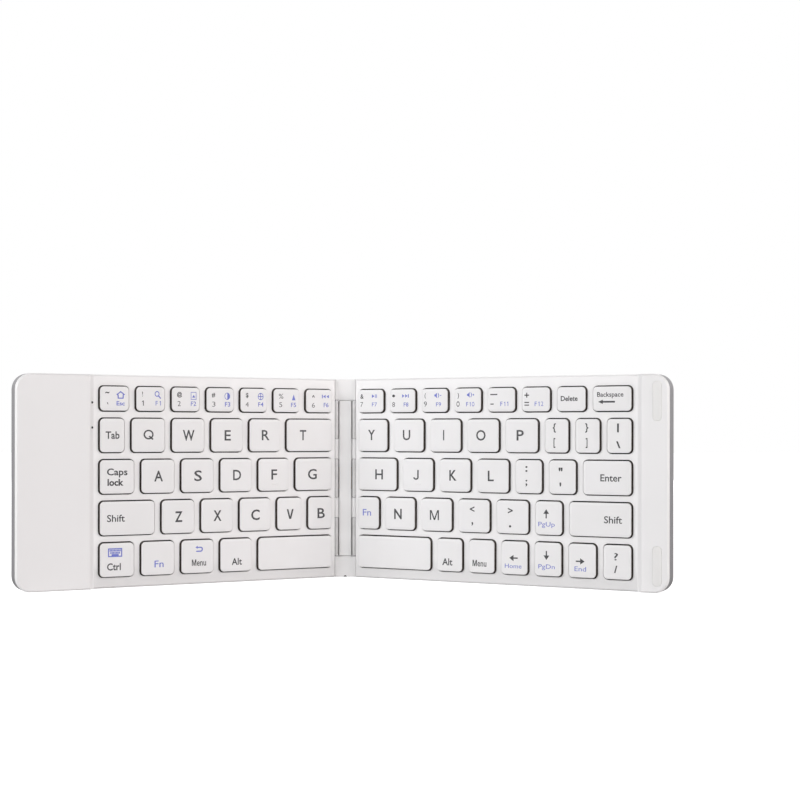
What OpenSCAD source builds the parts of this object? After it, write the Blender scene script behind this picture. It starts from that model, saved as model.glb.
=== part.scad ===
// Folding pocket keyboard: two halves hinged on a narrow spine, standing half open on their front edges.
// Each half is drawn flat (s outward from its hinge edge, y from the front edge to the back edge,
// z up from its back face) and is then stood up and folded about its own hinge pin.
// Frame: +Z up along the hinge, +X to the right, keys facing -Y, origin in the middle of the spine's foot.

/* [Pose] */
// Angle that each half is folded up from flat
fold_angle = 27; // [0:1:80]

/* [Keys] */
// Distance between two letter keys
key_pitch = 18; // [17:0.1:20]
// Distance between two letter rows
row_pitch = 17.6; // [16.6:0.1:19.5]
// Depth of the number row
number_row_d = 13.6; // [13:0.1:17]
// Width of the plate's bars between two key openings
key_web = 2.35; // [1.8:0.05:2.6]
// Gap round a cap in its opening
key_clear = 0.5; // [0.3:0.05:0.7]
// Corner radius of a cap
cap_r = 1.7; // [1:0.1:2.2]
// Travel of a key, and how far its cap stands above the plate
key_travel = 1.5; // [1.2:0.05:1.7]
// Height of a cap, skirt included
cap_h = 2.9; // [2.6:0.05:3]
// Thickness of a cap's top
cap_top = 1.1; // [0.9:0.05:1.2]
// Thickness of a cap's skirt
cap_wall = 0.9; // [0.7:0.05:1]
// Width of the slope round a cap's top
cap_edge = 0.45; // [0.3:0.05:0.6]

/* [Key widths, in key pitches] */
// Width of the left key field
left_field_u = 6.206; // [6.1:0.001:6.4]
// Width of the right key field
right_field_u = 7.296; // [7.2:0.001:7.4]
// Number keys
number_u = 0.883; // [0.85:0.001:0.89]
// Tab
tab_u = 0.772; // [0.75:0.001:0.9]
// Caps lock and control
caps_u = 1.011; // [0.95:0.001:1.1]
// Left shift
left_shift_u = 1.517; // [1.4:0.001:1.55]
// Keys squeezed in beside the hinge and the right edge
short_u = 0.845; // [0.8:0.001:0.86]
// Backspace
backspace_u = 1.106; // [1:0.001:1.15]
// Brackets and backslash
bracket_u = 0.764; // [0.74:0.001:0.8]
// Enter
enter_u = 1.344; // [1.2:0.001:1.4]
// Right shift
right_shift_u = 1.683; // [1.5:0.001:1.7]
// Keys of the front row beside the right space bar
arrow_u = 0.85; // [0.8:0.001:0.87]

/* [Case] */
// Width of the left half's raised strip, beyond its key field
left_strip_w = 34; // [33:0.1:45]
// Bare margin in front of and behind the key field
edge_margin = 3.3; // [3:0.1:5]
// Bare margin between the hinge edge and the key field
hinge_margin = 0.6; // [0.5:0.1:1.5]
// Thickness of a half at its key field
plate_z = 5.8; // [5.6:0.1:6.2]
// Thickness of a half at its raised strip
strip_z = 7.8; // [7.7:0.1:9]
// Width of the slope from the key field up to the strip
ramp_w = 2.6; // [1.5:0.1:4]
// Radius of the outer corners
corner_r = 6.5; // [5:0.5:9]
// Thickness of the moulded top case
shell_t = 1.2; // [1:0.1:1.4]
// Height of the top case's rim above the metal tray
rim_h = 1.4; // [1.2:0.1:1.5]
// Slope round the top case's edge
rim_edge = 0.7; // [0.4:0.1:0.9]
// Thickness of the metal back cover
tray_t = 0.8; // [0.7:0.05:1]
// Slope round the back cover's edge
tray_edge = 0.5; // [0.3:0.1:0.6]

/* [Hinge] */
// Radius of a hinge pin
pin_r = 0.65; // [0.5:0.05:0.75]
// Running clearance of a pin in the folding leaf
pin_clear = 0.05; // [0.03:0.01:0.08]
// Outer radius of a hinge barrel
barrel_r = 1.25; // [1.1:0.05:1.3]
// Distance from a pin to its half's edge
edge_reach = 1.4; // [1.35:0.05:1.7]
// Length of the spine's end caps
end_cap_l = 9.6; // [8:0.1:12]
// Length of one of the spine's two lugs
lug_l = 9; // [6:0.1:12]
// Air between the closed halves' strips
closing_gap = 0.5; // [0.4:0.05:1]

/* [Parts inside] */
// Thickness of the steel key plate
key_plate_t = 0.4; // [0.3:0.05:0.5]
// Thickness of the contact sheet
sheet_t = 0.3; // [0.2:0.05:0.4]
// Length of a scissor lever
lever_l = 7.2; // [6:0.1:7.4]
// Width of the outer scissor lever
lever_w = 7.8; // [7:0.1:8]
// Width of a scissor lever's bars
lever_bar = 0.9; // [0.7:0.05:1]
// Radius of a rubber dome's foot
dome_r = 1.9; // [1.5:0.1:2]
// Width of the battery
battery_w = 22; // [18:0.5:23]
// Length of the battery
battery_l = 54; // [40:1:54]
// Thickness of the battery
battery_t = 3.8; // [3:0.1:4]
// Clearance between a magnet and the ramp or the lip beside it
magnet_clear = 1.75; // [0.5:0.05:2]
// Thickness of a magnet
magnet_t = 1.2; // [1:0.1:1.4]

/* [Pads, feet and lights] */
// Width of a closing pad
pad_w = 3.9; // [3:0.1:5]
// Length of a closing pad
pad_l = 16.4; // [12:0.1:20]
// Distance from a closing pad to the outer edge
pad_inset = 3; // [2.5:0.1:4]
// Length of a foot
foot_l = 16; // [10:0.5:20]
// Width of a foot
foot_w = 5; // [4.5:0.1:6]
// Height that a foot stands out of the back
foot_proud = 0.6; // [0.4:0.1:1]
// Radius of an indicator light
light_r = 0.55; // [0.4:0.05:0.7]

/* [Hidden] */
$fn = 48;
hull_fn = 32;
eps = 0.01;
cut = 1;               // how far a cutting solid runs past what it cuts
seat = 0.1;            // clearance round a piece that is set into another
key_rows = 5;
ramp_steps = 8;

key_gap = key_web + 2 * key_clear;       // cap to cap
opening_r = cap_r + key_clear;
left_field_w = left_field_u * key_pitch;
right_field_w = right_field_u * key_pitch;
half_w = hinge_margin + left_field_w + left_strip_w;
case_d = number_row_d + (key_rows - 1) * row_pitch + 2 * edge_margin;
ramp_gap = 0.6;                                 // flat ground between the keys and the slope
left_ramp_s = hinge_margin + left_field_w + ramp_gap;
right_ramp_s = hinge_margin + right_field_w + ramp_gap;

sheet_z = tray_t + key_plate_t + sheet_t;       // top of the contact sheet
under_plate_z = plate_z - shell_t;              // underside of the top case's key plate
under_strip_z = strip_z - shell_t;
cap_top_z = plate_z + key_travel;
cap_foot_z = cap_top_z - cap_h;
cap_under_z = cap_top_z - cap_top;
lip_in = tray_t + seat;                         // the top case's lip lies just inside the tray's wall
lip_t = 0.7;
lip_l = 1;
web_lap = 0.15;
inner_edge = edge_margin + key_web / 2 - web_lap;  // edge of what lies under the keys

pin_z = strip_z / 2;
pin_x = strip_z + closing_gap / 2 - pin_z;      // lets the strips just miss each other when closed
hinge_x = pin_x + edge_reach;                   // a half's hinge edge when it is flat
spine_clear = 0.2;
spine_reach = edge_reach - spine_clear;         // the spine keeps inside this radius round a pin
spine_back_z = 0.15;
spine_floor_z = 1.35;
barrel_clear = 0.15;                            // air beside and at both ends of a barrel
bar_x = pin_x - barrel_r - barrel_clear;
knuckle_l = (case_d - 2 * end_cap_l - 2 * lug_l) / 3;
rail_clear = 0.2;
rail_w = hinge_margin + key_web / 2 - rail_clear;
pin_l = case_d - end_cap_l;
pin_fit = 0.02;                                 // air round a pin in the spine
tongue_l = 4;                                   // the spine's plug in each end cap
tongue_in = 0.4;
tongue_z = 1.4;
dimple_r = 0.5;
dimple_h = 0.8;

stem_r = 1.1;
stem_l = 1.2;                                   // from the cap's underside down to the dome
clip_l = 0.9;                                   // depth of the ribs that hold the levers
clip_w = 0.8;
clip_in = 1.2;
lever_t = 0.7;
lever_play = 0.4;                               // air at the ends of a lever
lever_slack = 0.3;                              // air between two levers, and above them
dome_rim = 0.4;
dome_hollow = 0.6;

ribbon_w = 10;
ribbon_t = 0.2;
ribbon_y = case_d / 2;
ribbon_play = 0.5;                              // air at each side of the ribbon
ribbon_way = 0.8;                               // height of the ribbon's way through the spine
ribbon_lift = 0.3;
ribbon_reach = 3;

screw_r = 0.7;
screw_head_r = 1.3;
screw_head_h = 0.6;
foot_sink = 0.3;
boss_r = 1.5;
cover_boss_r = boss_r + 0.3;
boss_cap = 0.4;
boss_z = 1.7;                                   // where the cover's boss meets the top case's
screw_y = tray_t + seat + boss_r;
screw_fit = 0.02;
screw_short = 1.1;
drive_r = 0.6;
drive_h = 0.35;
foot_in = 1.6;
foot_y = foot_w / 2 + foot_in;
fixing_s = [24, 92];                            // the feet and the screws under them

board_t = 1;
board_z = 1.9;
board_l = 21;
board_y = case_d - tray_t - seat - board_l;
board_s = left_ramp_s - 0.3;
board_w = half_w - board_s - corner_r;
light_in = [11.8, 22.4];
light_y = [for (d = light_in) case_d - d];
light_past = 0.9;
light_s = left_ramp_s + light_past;
light_fit = 0.02;
light_foot_h = 0.8;
light_foot = 0.3;
socket_w = 7.6;
socket_h = 2.7;
socket_l = 5.6;
socket_t = 0.3;
socket_shift = 3;
socket_s = half_w - left_strip_w / 2 + socket_shift;
socket_tongue_t = 0.6;
socket_z = board_z + board_t;
magnet_flat_s = right_ramp_s + ramp_w;          // from here the right strip is level underneath
magnet_flat_w = half_w - lip_in - lip_t - magnet_flat_s;
magnet_r = magnet_flat_w / 2 - magnet_clear;
magnet_s = magnet_flat_s + magnet_flat_w / 2;
magnet_y = [case_d * 0.3, case_d * 0.7];

battery_in = 3;
battery_gap = 3.7;                              // from the battery to the circuit board
battery_tab = 1.2;
battery_s = half_w - tray_t - battery_in - battery_w;
battery_y = board_y - battery_gap - battery_l;

pad_sink = 0.6;
pad_end = 3;
pad_flat = 0.3;
pad_clear = 0.05;
plate_hole_r = 1;
cavity_r = 0.3;

// Keys of each row from the outer edge inwards, in key pitches: the key beside the hinge takes what is left.
LEFT_ROWS = [
    [for (i = [1:6]) number_u],
    [tab_u, 1, 1, 1, 1],
    [caps_u, 1, 1, 1, 1],
    [left_shift_u, 1, 1, 1, short_u],
    [caps_u, 1, 1, 1]
];
RIGHT_ROWS = [
    [backspace_u, for (i = [1:6]) number_u],
    [bracket_u, bracket_u, bracket_u, 1, 1, 1, 1],
    [enter_u, short_u, short_u, 1, 1, 1],
    [right_shift_u, short_u, 1, 1, 1, 1],
    [for (i = [1:6]) arrow_u]
];

// ---- Placing ----

// Stands the flat spine up: y becomes height, and the back face turns to +Y.
module stand() rotate([90, 0, 0]) translate([0, 0, -pin_z]) children();

// Stands a half up and folds it about its pin; side is 1 for the right half and -1 for the left.
module place_half(side) {
    translate([side * pin_x, 0, 0])
        rotate([0, 0, -side * fold_angle])
            translate([-side * pin_x, 0, 0])
                stand()
                    mirror([side < 0 ? 1 : 0, 0, 0])
                        translate([hinge_x, 0, 0]) children();
}

// ---- Layout of the keys ----

function sum_first(list, n) = n == 0 ? 0 : list[n - 1] + sum_first(list, n - 1);
function rows(side) = side < 0 ? LEFT_ROWS : RIGHT_ROWS;
function field_w(side) = side < 0 ? left_field_w : right_field_w;
function ramp_s(side) = side < 0 ? left_ramp_s : right_ramp_s;

// Width of key i of a row, and the middle of it, both with its share of the bars round it.
function cell_w(side, r, i) =
    let (row = rows(side)[r])
    i < len(row) ? row[i] * key_pitch : field_w(side) - sum_first(row, len(row)) * key_pitch;
function cell_s(side, r, i) =
    let (row = rows(side)[r])
    i < len(row) ? hinge_margin + field_w(side) - sum_first(row, i) * key_pitch - cell_w(side, r, i) / 2
                 : hinge_margin + cell_w(side, r, i) / 2;
function cell_d(r) = r == 0 ? number_row_d : row_pitch;
function cell_y(r) =
    case_d - edge_margin - (r == 0 ? number_row_d / 2 : number_row_d + (r - 0.5) * row_pitch);

// Runs its children at the middle of each key of a row; $w and $d are the key's width and depth.
module each_key(side, r) {
    for (i = [0:len(rows(side)[r])]) {
        $w = cell_w(side, r, i);
        $d = cell_d(r);
        translate([cell_s(side, r, i), cell_y(r), 0]) children();
    }
}

// ---- Shapes that repeat ----

// Rectangle with round corners, about the origin.
module rounded(w, d, r) {
    square([w - 2 * r, d], center = true);
    square([w, d - 2 * r], center = true);
    for (x = [-1, 1], y = [-1, 1])
        translate([x * (w / 2 - r), y * (d / 2 - r)]) circle(r);
}

// Strip with round ends, about the origin.
module slot_shape(l, w) {
    square([l - w, w], center = true);
    for (x = [-1, 1]) translate([x * (l - w) / 2, 0]) circle(w / 2);
}

// A half's outline, drawn in all round by inset; past is how far it runs beyond the hinge edge.
module half_outline(inset = 0, past = 0) {
    r = corner_r - inset;
    w = half_w - inset;
    translate([-past, inset]) square([w - r + past, case_d - 2 * inset]);
    translate([-past, inset + r]) square([w + past, case_d - 2 * inset - 2 * r]);
    for (y = [inset + r, case_d - inset - r]) translate([w - r, y]) circle(r);
}

function smooth(t) = t * t * (3 - 2 * t);

// All that lies lower than the top face by drop, with the slope up to the raised strip.
module below_top(side, drop, start = -cut) {
    line = [for (i = [0:ramp_steps])
        [ramp_s(side) + i / ramp_steps * ramp_w,
         plate_z - drop + (strip_z - plate_z) * smooth(i / ramp_steps)]];
    translate([0, case_d + cut, 0]) rotate([90, 0, 0]) linear_extrude(case_d + 2 * cut)
        polygon(concat([[start, -cut], [start, plate_z - drop]], line,
                       [[half_w + cut, strip_z - drop], [half_w + cut, -cut]]));
}

// Block with a half's outline and a slope round its top edge.
module sloped_block(z, slope) {
    hull() {
        linear_extrude(z - slope) half_outline($fn = hull_fn);
        linear_extrude(z) half_outline(slope, -slope, $fn = hull_fn);
    }
}

// ---- The two halves' cases ----

// Metal tray with a slope round its back edge, open towards the hinge.
module back_cover(side) {
    difference() {
        intersection() {
            hull() {
                translate([0, 0, tray_edge]) linear_extrude(strip_z) half_outline($fn = hull_fn);
                linear_extrude(strip_z) half_outline(tray_edge, $fn = hull_fn);
            }
            below_top(side, rim_h);
        }
        translate([0, 0, tray_t]) linear_extrude(strip_z) half_outline(tray_t, cut);
        each_fixing() {
            translate([0, foot_y, -cut]) linear_extrude(cut + foot_sink) slot_shape(foot_l, foot_w);
            translate([0, screw_y, -cut]) cylinder(h = boss_z + cut, r = screw_r + seat);
            translate([0, screw_y, -cut]) cylinder(h = cut + foot_sink + screw_head_h, r = screw_head_r + seat);
        }
        if (side < 0) socket_opening();
    }
    each_fixing() translate([0, screw_y, 0]) difference() {
        translate([0, 0, tray_t]) cylinder(h = boss_z - tray_t, r = cover_boss_r);
        cylinder(h = boss_z + cut, r = screw_r + seat);
        cylinder(h = foot_sink + screw_head_h, r = screw_head_r + seat);
    }
}

// Runs its children at each foot: y runs from the nearest long edge inwards.
module each_fixing() {
    for (s = fixing_s) {
        translate([s, 0, 0]) children();
        translate([s, case_d, 0]) mirror([0, 1, 0]) children();
    }
}

module socket_opening() {
    translate([socket_s - socket_w / 2 - seat, case_d - tray_t - cut, socket_z - seat])
        cube([socket_w + 2 * seat, tray_t + 2 * cut, socket_h + 2 * seat]);
}

// Moulded cover with its key openings, raised strip, rim, locating lip and screw bosses.
module top_case(side) {
    difference() {
        union() {
            difference() {
                union() {
                    sloped_block(plate_z, rim_edge);
                    intersection() {
                        sloped_block(strip_z, rim_edge);
                        below_top(side, 0, ramp_s(side));
                    }
                }
                below_top(side, rim_h);
            }
            intersection() {
                linear_extrude(strip_z) half_outline(lip_in);
                difference() {
                    below_top(side, rim_h - eps);
                    below_top(side, rim_h + lip_l);
                }
            }
        }
        intersection() {
            linear_extrude(strip_z) half_outline(lip_in + lip_t, cut);
            below_top(side, shell_t);
        }
        for (r = [0:key_rows - 1])
            each_key(side, r)
                linear_extrude(strip_z) rounded($w - key_web, $d - key_web, opening_r);
        if (side < 0) {
            socket_opening();
            for (y = light_y) translate([light_s, y, 0]) cylinder(h = strip_z, r = light_r + light_fit);
        } else {
            each_pad() translate([0, 0, strip_z - pad_sink]) linear_extrude(cut) pad_shape(seat / 2);
        }
    }
    each_fixing() translate([0, screw_y, boss_z]) difference() {
        cylinder(h = under_plate_z - boss_z + eps, r = boss_r);
        translate([0, 0, -cut]) cylinder(h = under_plate_z - boss_z + cut - boss_cap, r = screw_r);
    }
}

// Runs its children at each closing pad of the right half.
module each_pad() {
    for (y = [pad_end + pad_l / 2, case_d - pad_end - pad_l / 2])
        translate([half_w - pad_inset - pad_w / 2, y, 0]) children();
}

module pad_shape(grow = 0) rounded(pad_w + 2 * grow, pad_l + 2 * grow, pad_w / 2 - pad_flat + grow);

module closing_pads() {
    pad_proud = closing_gap / 2;
    each_pad() translate([0, 0, strip_z - pad_sink])
        linear_extrude(pad_sink + pad_proud - pad_clear) pad_shape();
}

// ---- Hinge ----

// Runs its children at the front end of each of the three barrels of a leaf; $l is the barrel's length.
module each_knuckle() {
    $l = knuckle_l - 2 * barrel_clear;
    for (i = [0:2])
        translate([0, end_cap_l + i * (knuckle_l + lug_l) + barrel_clear, 0]) children();
}

module along(l, r) rotate([-90, 0, 0]) cylinder(h = l, r = r);

// Rail along a half's hinge edge with three barrels for its pin.
module hinge_leaf() {
    rail_y = lip_in + lip_t + seat;
    difference() {
        union() {
            translate([0, rail_y, tray_t]) cube([rail_w, case_d - 2 * rail_y, under_plate_z - tray_t]);
            each_knuckle() {
                translate([-edge_reach, 0, pin_z]) along($l, barrel_r);
                translate([-edge_reach, 0, pin_z - barrel_r])
                    cube([edge_reach + rail_w / 2, $l, under_plate_z - pin_z + barrel_r]);
            }
        }
        translate([-edge_reach, -cut, pin_z]) along(case_d + 2 * cut, pin_r + pin_clear);
        translate([-cut, ribbon_y - ribbon_w / 2 - ribbon_play, 0])
            cube([rail_w + 2 * cut, ribbon_w + 2 * ribbon_play, spine_floor_z + ribbon_way]);
    }
}

// Cross-section of the spine's lugs: a wide foot with a round shoulder about each pin.
module lug_section() {
    reach = pin_x + spine_reach;
    translate([-reach, spine_back_z]) square([2 * reach, pin_z - spine_back_z]);
    for (x = [-pin_x, pin_x]) translate([x, pin_z]) circle(spine_reach);
}

// Cross-section of the end caps, which are full between the shoulders.
module cap_section() {
    lug_section();
    translate([-pin_x, spine_back_z]) square([2 * pin_x, pin_z + spine_reach - spine_back_z]);
}

// Extrudes a cross-section of the spine from y to y + l.
module spine_run(y, l) translate([0, y + l, 0]) rotate([90, 0, 0]) linear_extrude(l) children();

// Bar with a wide floor, two lugs on the pins and a plug at each end.
module hinge_spine() {
    reach = pin_x + spine_reach;
    run_l = case_d - 2 * end_cap_l;
    difference() {
        union() {
            spine_run(end_cap_l, run_l) {
                translate([-reach, spine_back_z]) square([2 * reach, spine_floor_z - spine_back_z]);
                translate([-bar_x, spine_back_z]) square([2 * bar_x, pin_z + spine_reach - spine_back_z]);
            }
            for (i = [0:1])
                spine_run(end_cap_l + knuckle_l + i * (knuckle_l + lug_l), lug_l) lug_section();
            spine_run(end_cap_l - tongue_l, run_l + 2 * tongue_l) tongue_section();
        }
        for (x = [-pin_x, pin_x])
            translate([x, 0, pin_z]) along(case_d, pin_r + pin_fit);
        translate([-reach - cut, ribbon_y - ribbon_w / 2 - ribbon_play, spine_floor_z])
            cube([2 * reach + 2 * cut, ribbon_w + 2 * ribbon_play, ribbon_way]);
    }
}

// Cross-section of the plug in which each end of the spine ends; grow is the air round it.
module tongue_section(grow = 0) {
    w = 2 * (bar_x - tongue_in + grow);
    translate([-w / 2, tongue_z - grow]) square([w, pin_z - tongue_in + 2 * grow]);
}

// End cap that takes the spine's plug and the pins' ends; drawn at the front end.
module spine_end_cap() {
    socket_l = tongue_l + seat;
    difference() {
        spine_run(0, end_cap_l) cap_section();
        for (x = [-pin_x, pin_x])
            translate([x, end_cap_l / 2 - seat, pin_z]) along(end_cap_l, pin_r + pin_fit);
        spine_run(end_cap_l - socket_l, socket_l + cut) tongue_section(seat);
        translate([0, 0, pin_z + spine_reach]) cylinder(h = 2 * dimple_h, r = dimple_r, center = true);
    }
}

module hinge_pin(side) translate([side * pin_x, end_cap_l / 2, pin_z]) along(pin_l, pin_r);

// Point of a half, given by its distance from the pin along and across the half, seen along the hinge.
function folded(x, z) = [pin_x + x * cos(fold_angle) - z * sin(fold_angle),
                         pin_z + x * sin(fold_angle) + z * cos(fold_angle)];

// Printed ribbon that joins the halves' sheets under the pins and through the spine.
module flex_ribbon() {
    inner_z = sheet_z + seat / 2 + ribbon_t / 2 - pin_z;
    bend = 2 * ribbon_t;
    route = [[0, spine_floor_z + ribbon_lift], [pin_x, spine_floor_z + ribbon_lift],
             folded(edge_reach - bend, inner_z), folded(edge_reach + rail_w + ribbon_reach, inner_z)];
    for (side = [-1, 1], i = [0:2])
        hull()
            for (p = [route[i], route[i + 1]])
                translate([side * p[0], ribbon_y - ribbon_w / 2, p[1]])
                    translate([-ribbon_t / 2, 0, -ribbon_t / 2]) cube([ribbon_t, ribbon_w, ribbon_t]);
}

// ---- What lies under the keys ----

module key_plate(side) {
    translate([rail_w + seat, inner_edge, tray_t]) difference() {
        cube([field_w(side) + hinge_margin - rail_w - 2 * seat, case_d - 2 * inner_edge, key_plate_t]);
        for (x = [field_w(side) * 0.25, field_w(side) * 0.5, field_w(side) * 0.75])
            translate([x, case_d / 2 - inner_edge, -cut]) cylinder(h = 3 * cut, r = plate_hole_r);
    }
}

module contact_sheet(side) {
    translate([rail_w + seat, inner_edge, tray_t + key_plate_t])
        cube([field_w(side) + hinge_margin - rail_w - 2 * seat, case_d - 2 * inner_edge, sheet_t]);
}

// Cross-section of a cap's outside, of width w, with the slope round its top.
function crown(w) = [[-w / 2, -cut], [w / 2, -cut], [w / 2, cap_h - cap_edge], [w / 2 - cap_edge, cap_h],
                     [cap_edge - w / 2, cap_h], [-w / 2, cap_h - cap_edge]];

// One key: a hollow cap with a stem over its dome and two ribs over its levers.
module keycap(w, d) {
    inner_w = w - 2 * cap_wall;
    inner_d = d - 2 * cap_wall;
    difference() {
        intersection() {
            linear_extrude(cap_h) rounded(w, d, cap_r);
            rotate([90, 0, 0]) linear_extrude(d + 2 * cut, center = true) polygon(crown(w));
            rotate([90, 0, 90]) linear_extrude(w + 2 * cut, center = true) polygon(crown(d));
        }
        translate([0, 0, -cut]) linear_extrude(cap_h - cap_top + cut)
            rounded(inner_w, inner_d, max(cap_r - cap_wall, cavity_r));
    }
    translate([0, 0, cap_h - cap_top - stem_l]) cylinder(h = stem_l + eps, r = stem_r, $fn = 24);
    for (x = lever_places(w), end = [-1, 1])
        translate([x + end * (lever_run(w) / 2 - clip_w / 2) - clip_w / 2, -lever_w / 2 + clip_in,
                   cap_h - cap_top - clip_l])
            cube([clip_w, lever_w - 2 * clip_in, clip_l + eps]);
}

// A wide key stands on two pairs of levers, the others on one.
function lever_places(w) = w > 3 * lever_l ? [-w / 4, w / 4] : [0];
function lever_run(w) = min(lever_l, w - 2 * cap_wall - lever_play);

module caps(side, r)
    translate([0, 0, cap_foot_z]) each_key(side, r) keycap($w - key_gap, $d - key_gap);

// Frame of one lever, from the sheet at one end up to the cap's rib at the other.
module lever(run, w, tilt) {
    rise = cap_under_z - clip_l - sheet_z - lever_t - lever_slack;
    angle = asin(rise / run);
    rotate([0, tilt * angle, 0]) difference() {
        cube([run - lever_play, w, lever_t], center = true);
        cube([run - lever_play - 2 * lever_bar, w - 2 * lever_bar, 2 * lever_t], center = true);
    }
}

// The crossed levers of each key, one frame inside the other.
module levers(side, r) {
    mid_z = (sheet_z + cap_under_z - clip_l) / 2;
    inner_w = lever_w - 2 * lever_bar - lever_slack;
    translate([0, 0, mid_z]) each_key(side, r)
        for (x = lever_places($w - key_gap)) translate([x, 0, 0]) {
            lever(lever_run($w - key_gap), lever_w, 1);
            lever(lever_run($w - key_gap), inner_w, -1);
        }
}

// Rubber domes between the contact sheet and the caps' stems.
module domes(side, r) {
    dome_h = cap_under_z - stem_l - sheet_z;
    translate([0, 0, sheet_z]) each_key(side, r)
        rotate_extrude($fn = 24) polygon([
            [0, dome_hollow], [dome_r - 2 * dome_rim, dome_hollow], [dome_r - dome_rim, 0], [dome_r, 0],
            [dome_r, dome_rim], [stem_r + dome_rim / 2, dome_h * 0.75], [stem_r, dome_h], [0, dome_h]]);
}

// ---- What the raised strips hold ----

module battery() translate([battery_s, battery_y, tray_t]) {
    cube([battery_w, battery_l, battery_t]);
    translate([battery_w * 0.3, battery_l, battery_t * 0.3])
        cube([battery_w * 0.4, battery_tab, battery_t * 0.4]);
}

// Circuit board on four posts of its own, under the lights and the socket.
module main_board() {
    post_r = 1;
    chip = [6, 6, 0.9];
    small_chip = [4, 3, 0.7];
    translate([board_s, board_y, board_z]) {
        cube([board_w, board_l, board_t]);
        for (x = [0.12, 0.82] * board_w, y = [0.1, 0.86] * board_l)
            translate([x, y, tray_t - board_z]) cylinder(h = board_z - tray_t + eps, r = post_r);
        translate([board_w * 0.62, board_l * 0.19, board_t - eps]) cube(chip);
        translate([board_w * 0.35, board_l * 0.14, board_t - eps]) cube(small_chip);
    }
}

// Pressed shell of the charging socket with its tongue, at the back edge.
module charging_socket() {
    translate([socket_s, case_d - socket_l, socket_z]) {
        difference() {
            translate([-socket_w / 2, 0, 0]) cube([socket_w, socket_l, socket_h]);
            translate([-socket_w / 2 + socket_t, 2 * socket_t, socket_t])
                cube([socket_w - 2 * socket_t, socket_l, socket_h - 2 * socket_t]);
        }
        translate([-socket_w / 4, socket_t, (socket_h - socket_tongue_t) / 2])
            cube([socket_w / 2, socket_l * 0.7, socket_tongue_t]);
    }
}

module light_pipes()
    for (y = light_y)
        translate([light_s, y, board_z + board_t]) {
            cylinder(h = light_foot_h, r = light_r + light_foot);
            cylinder(h = plate_z + (strip_z - plate_z) * smooth((light_s - light_r - left_ramp_s) / ramp_w)
                        - board_z - board_t, r = light_r);
        }

module magnets()
    for (y = magnet_y)
        translate([magnet_s, y, under_strip_z - magnet_t]) cylinder(h = magnet_t, r = magnet_r);

// ---- Feet and screws ----

module feet()
    each_fixing() translate([0, foot_y, -foot_proud])
        linear_extrude(foot_proud + foot_sink) slot_shape(foot_l - 2 * seat, foot_w - 2 * seat);

module screws()
    each_fixing() translate([0, screw_y, foot_sink]) difference() {
        union() {
            cylinder(h = screw_head_h, r = screw_head_r);
            cylinder(h = under_plate_z - screw_short - foot_sink, r = screw_r - screw_fit);
        }
        translate([0, 0, -cut]) cylinder(h = cut + drive_h, r = drive_r, $fn = 6);
    }

// ---- Nodes ----

white = "whitesmoke";
dark = [0.16, 0.15, 0.14];

color(white) stand() hinge_spine();
color(white) stand() spine_end_cap();  // spine_end_cap_front
color(white) stand() translate([0, case_d, 0]) mirror([0, 1, 0]) spine_end_cap();  // spine_end_cap_back
color("silver") stand() hinge_pin(-1);  // left_hinge_pin
color("silver") stand() hinge_pin(1);  // right_hinge_pin
color("orange") stand() flex_ribbon();

color("darkgray") place_half(-1) back_cover(-1);  // left_back_cover
color(white) place_half(-1) top_case(-1);  // left_top_case
color("silver") place_half(-1) hinge_leaf();  // left_hinge_leaf
color("silver") place_half(-1) key_plate(-1);  // left_key_plate
color(dark) place_half(-1) contact_sheet(-1);  // left_contact_sheet
color("silver") place_half(-1) battery();
color("seagreen") place_half(-1) main_board();
color("silver") place_half(-1) charging_socket();
color(dark) place_half(-1) light_pipes();
color("silver") place_half(-1) magnets();  // left_magnets
color("silver") place_half(-1) screws();  // left_screws
color("gray") place_half(-1) feet();  // left_feet

color("darkgray") place_half(1) back_cover(1);  // right_back_cover
color(white) place_half(1) top_case(1);  // right_top_case
color("silver") place_half(1) hinge_leaf();  // right_hinge_leaf
color("silver") place_half(1) key_plate(1);  // right_key_plate
color(dark) place_half(1) contact_sheet(1);  // right_contact_sheet
color("ivory") place_half(1) closing_pads();
color("silver") place_half(1) magnets();  // right_magnets
color("silver") place_half(1) screws();  // right_screws
color("gray") place_half(1) feet();  // right_feet

color(white) place_half(-1) caps(-1, 0);  // left_caps_1
color(white) place_half(-1) caps(-1, 1);  // left_caps_2
color(white) place_half(-1) caps(-1, 2);  // left_caps_3
color(white) place_half(-1) caps(-1, 3);  // left_caps_4
color(white) place_half(-1) caps(-1, 4);  // left_caps_5
color(white) place_half(1) caps(1, 0);  // right_caps_1
color(white) place_half(1) caps(1, 1);  // right_caps_2
color(white) place_half(1) caps(1, 2);  // right_caps_3
color(white) place_half(1) caps(1, 3);  // right_caps_4
color(white) place_half(1) caps(1, 4);  // right_caps_5
color("gray") place_half(-1) levers(-1, 0);  // left_levers_1
color("gray") place_half(-1) levers(-1, 1);  // left_levers_2
color("gray") place_half(-1) levers(-1, 2);  // left_levers_3
color("gray") place_half(-1) levers(-1, 3);  // left_levers_4
color("gray") place_half(-1) levers(-1, 4);  // left_levers_5
color("gray") place_half(1) levers(1, 0);  // right_levers_1
color("gray") place_half(1) levers(1, 1);  // right_levers_2
color("gray") place_half(1) levers(1, 2);  // right_levers_3
color("gray") place_half(1) levers(1, 3);  // right_levers_4
color("gray") place_half(1) levers(1, 4);  // right_levers_5
color("white") place_half(-1) domes(-1, 0);  // left_domes_1
color("white") place_half(-1) domes(-1, 1);  // left_domes_2
color("white") place_half(-1) domes(-1, 2);  // left_domes_3
color("white") place_half(-1) domes(-1, 3);  // left_domes_4
color("white") place_half(-1) domes(-1, 4);  // left_domes_5
color("white") place_half(1) domes(1, 0);  // right_domes_1
color("white") place_half(1) domes(1, 1);  // right_domes_2
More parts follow.
